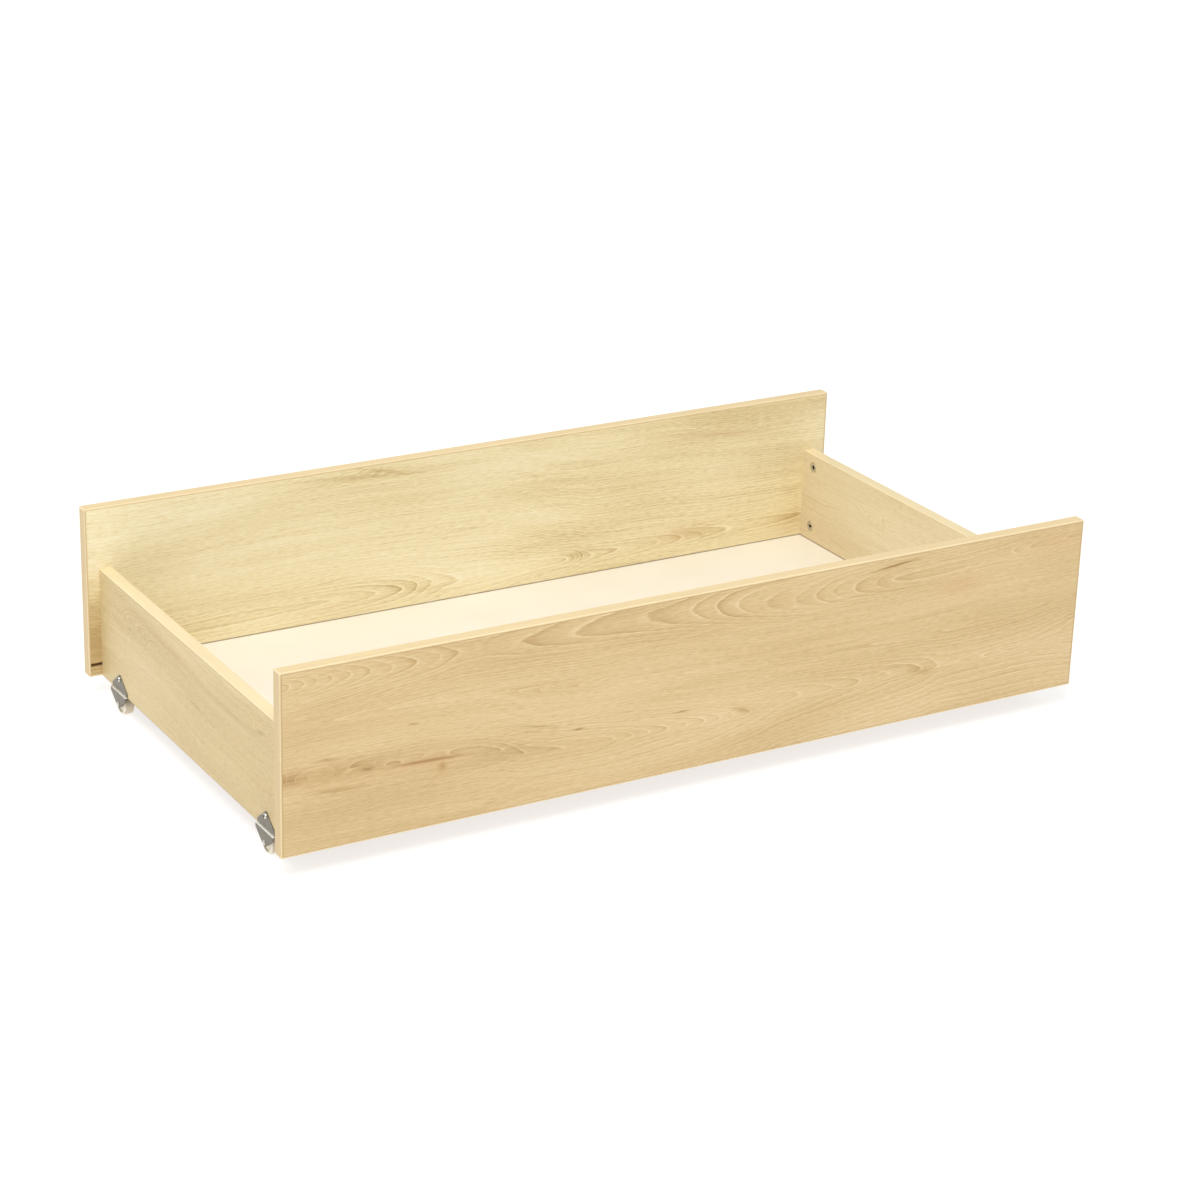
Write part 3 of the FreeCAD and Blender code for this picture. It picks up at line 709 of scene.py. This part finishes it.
def base_material():
    """Thin fibreboard: cream lacquer above, with painted shade along its edges by the panels, and bare
    brown fibre with its mesh print below.
    """
    material, shader, x, y, z = new_material("lacquered_fibreboard")
    cloud = noise(x / 160.0, y / 120.0, 2.0, 0.5, 2.0)
    peel = noise(x / 1.8, y / 1.8, 2.0, 0.6, 6.0)
    speck = noise(x / 0.9, y / 0.9, 1.0, 0.5, 9.0).ramp(1.35, 1.6)
    cream = colour_ramp(cloud * 0.12 + peel * 0.03 - speck * 0.35 + 0.6, CREAM_STOPS)
    weave = (x * 2.2).math("SINE") * (y * 2.2).math("SINE")
    fibre = noise(x / 3.0, y / 3.0, 3.0, 0.7, 12.0)
    brown = colour_ramp(fibre * 0.22 + weave * 0.10 + 0.5, FIBRE_STOPS)
    top = faces("base_panel", Z_AXIS)[1]
    bare = z.ramp(top - 0.1, top - 0.25)
    open_x = faces("right_side_panel", X_AXIS)[0] - BASE_GAP_WIDTH
    open_y = faces("back_panel", Y_AXIS)[0] - BASE_GAP_WIDTH
    # painted shade along the base's edges, where it meets the panels
    gap = 1.0 - x.between(-open_x, open_x, 0.4) * y.between(-open_y, open_y, 0.4)
    cream = mix(gap * 0.6, cream, paint(BASE_GAP))
    feed(shader.inputs["Base Color"], mix(bare, cream, brown))
    feed(shader.inputs["Roughness"], mix(bare, 0.36 + cloud * 0.04, 0.8))
    shader.inputs["Specular IOR Level"].default_value = 0.45
    feed(shader.inputs["Normal"], bump(mix(bare, peel * 0.12 + 0.5, weave * 0.3 + 0.5), 0.10, 0.5))
    return material


BURNISHED = (236, 232, 222)
SOOT = (40, 38, 34)


def metal_material(name, dark, light, rough, grain, burnished=None, sooty=None, pitted=None):
    """Plated or cast metal: a mottled finish with fine scratches. burnished is the heights between
    which a bend gets a painted highlight. sooty is the distance from the middle of the box past
    which hollows get painted shade. pitted is the distance and height of screw heads that get painted
    shade in the middle."""
    material, shader, x, y, z = new_material(name)
    mottle = solid_noise(x / grain, y / grain, z / grain, 3.0, 0.6)
    scratch = solid_noise(x / 0.25, y / 4.0, z / 4.0, 2.0, 0.6)
    cloud = solid_noise(x / 9.0, y / 9.0, z / 9.0, 1.0, 0.5)
    shader.inputs["Metallic"].default_value = 1.0
    tone = mottle * 0.16 + cloud * 0.18 + scratch * 0.06 + 0.5
    colour = colour_ramp(tone, [(0.0, dark), (1.0, light)])
    if burnished:
        # painted highlight along the plate's bend
        colour = mix(z.between(*burnished, 0.3) * 0.85, colour, paint(BURNISHED))
    if sooty:
        # painted shade in the cam locks' hollows
        colour = mix(x.math("ABSOLUTE").ramp(sooty + 0.1, sooty + 0.5), colour, paint(SOOT))
    if pitted:
        # painted shade in the middle of each screw head, round its recess
        side = y.math("ABSOLUTE") - pitted[0]
        rise = z - pitted[1]
        distance = (side * side + rise * rise).math("SQRT")
        colour = mix(distance.ramp(2.2, 1.5) * 0.8, colour, paint(SOOT))
    feed(shader.inputs["Base Color"], colour)
    feed(shader.inputs["Roughness"], rough + mottle * 0.05 + cloud * 0.05)
    feed(shader.inputs["Normal"], bump(mottle * 0.2 + scratch * 0.15 + 0.5, 0.04, 0.5))
    return material


NYLON_STOPS = [(0.0, (206, 196, 172)), (0.6, (238, 232, 214)), (1.0, (248, 244, 232))]
GRUBBY_TREAD = (188, 170, 134)


def nylon_material():
    """Moulded white nylon, with painted shade on its tread."""
    material, shader, x, y, z = new_material("wheel_nylon")
    cloud = solid_noise(x / 5.0, y / 5.0, z / 5.0, 2.0, 0.5)
    grit = solid_noise(x / 0.5, y / 0.5, z / 0.5, 2.0, 0.6)
    colour = colour_ramp(cloud * 0.14 + grit * 0.04 + 0.6, NYLON_STOPS)
    tread = normal_sizes(x.tree)[X_AXIS].ramp(0.5, 0.2)
    # painted shade on the tread, which lies under the fork and the board
    feed(shader.inputs["Base Color"], mix(tread * 0.55, colour, paint(GRUBBY_TREAD)))
    feed(shader.inputs["Roughness"], 0.42 + grit * 0.04)
    shader.inputs["Subsurface Weight"].default_value = 0.12
    shader.inputs["Subsurface Radius"].default_value = (0.003, 0.0026, 0.002)
    feed(shader.inputs["Normal"], bump(grit * 0.2 + 0.5, 0.03, 0.5))
    return material


BEECH_STOPS = [(0.0, (160, 118, 78)), (1.0, (222, 188, 146))]


def beech_material():
    """Turned and fluted hardwood pins."""
    material, shader, x, y, z = new_material("beech_pins")
    fibre = noise(x / 8.0, y / 0.5 + z / 0.7, 2.0, 0.6, 2.0)
    ray = noise(x / 1.2, y / 0.3 + z / 0.4, 1.0, 0.5, 5.0).ramp(0.6, 1.0)
    feed(shader.inputs["Base Color"], colour_ramp(fibre * 0.2 - ray * 0.3 + 0.6, BEECH_STOPS))
    feed(shader.inputs["Roughness"], 0.6 + fibre * 0.04)
    feed(shader.inputs["Normal"], bump(fibre * 0.3 + 0.5, 0.05, 0.5))
    return material


PLATE_TONES = ((87, 82, 73), (144, 139, 127))
BRIGHT_TONES = ((176, 173, 164), (238, 235, 226))
CAST_TONES = ((196, 192, 182), (244, 240, 230))
SCREW_HEAD_RADIUS = 3.1      # mm


def make_bands():
    strips = {run: band_material(f"edging_along_{run.lower()}", run) for run in "XYZ"}
    for side in ("front", "back"):
        for edge, run in (("top", "X"), ("bottom", "X"), ("left", "Z"), ("right", "Z")):
            use(f"{side}_band_{edge}", strips[run])
    for side in ("left", "right"):
        use(f"{side}_side_band", strips["Y"])


def make_hardware():
    foot = faces("left_side_panel", Z_AXIS)[0]
    plate = metal_material("zinc_plate", *PLATE_TONES, 0.34, 1.6, burnished=(foot + 0.1, foot + 1.3))
    bright = metal_material("bright_zinc", *BRIGHT_TONES, 0.3, 1.2)
    axle_near, axle_far = faces("castor_rear_left_axle", Y_AXIS)
    head_level = faces("castor_screws", Z_AXIS)[1] - SCREW_HEAD_RADIUS
    heads = metal_material("screw_zinc", *BRIGHT_TONES, 0.28, 0.8,
                           pitted=((axle_near + axle_far) / 2, head_level))
    inner_face = faces("right_side_panel", X_AXIS)[0]
    use("cam_locks", metal_material("cast_zinc", *CAST_TONES, 0.5, 0.8, sooty=inner_face))
    use("castor_screws", heads)
    use("wooden_dowels", beech_material())
    nylon = nylon_material()
    for node in nodes:
        if node == "cam_bolts" or node.endswith(("_side_plate", "_fork")):
            use(node, plate)
        if node.endswith("_axle"):
            use(node, bright)
        if node.endswith("_wheel"):
            use(node, nylon)


make_camera()
make_studio()
make_boards()
make_bands()
use("base_panel", base_material())
make_hardware()
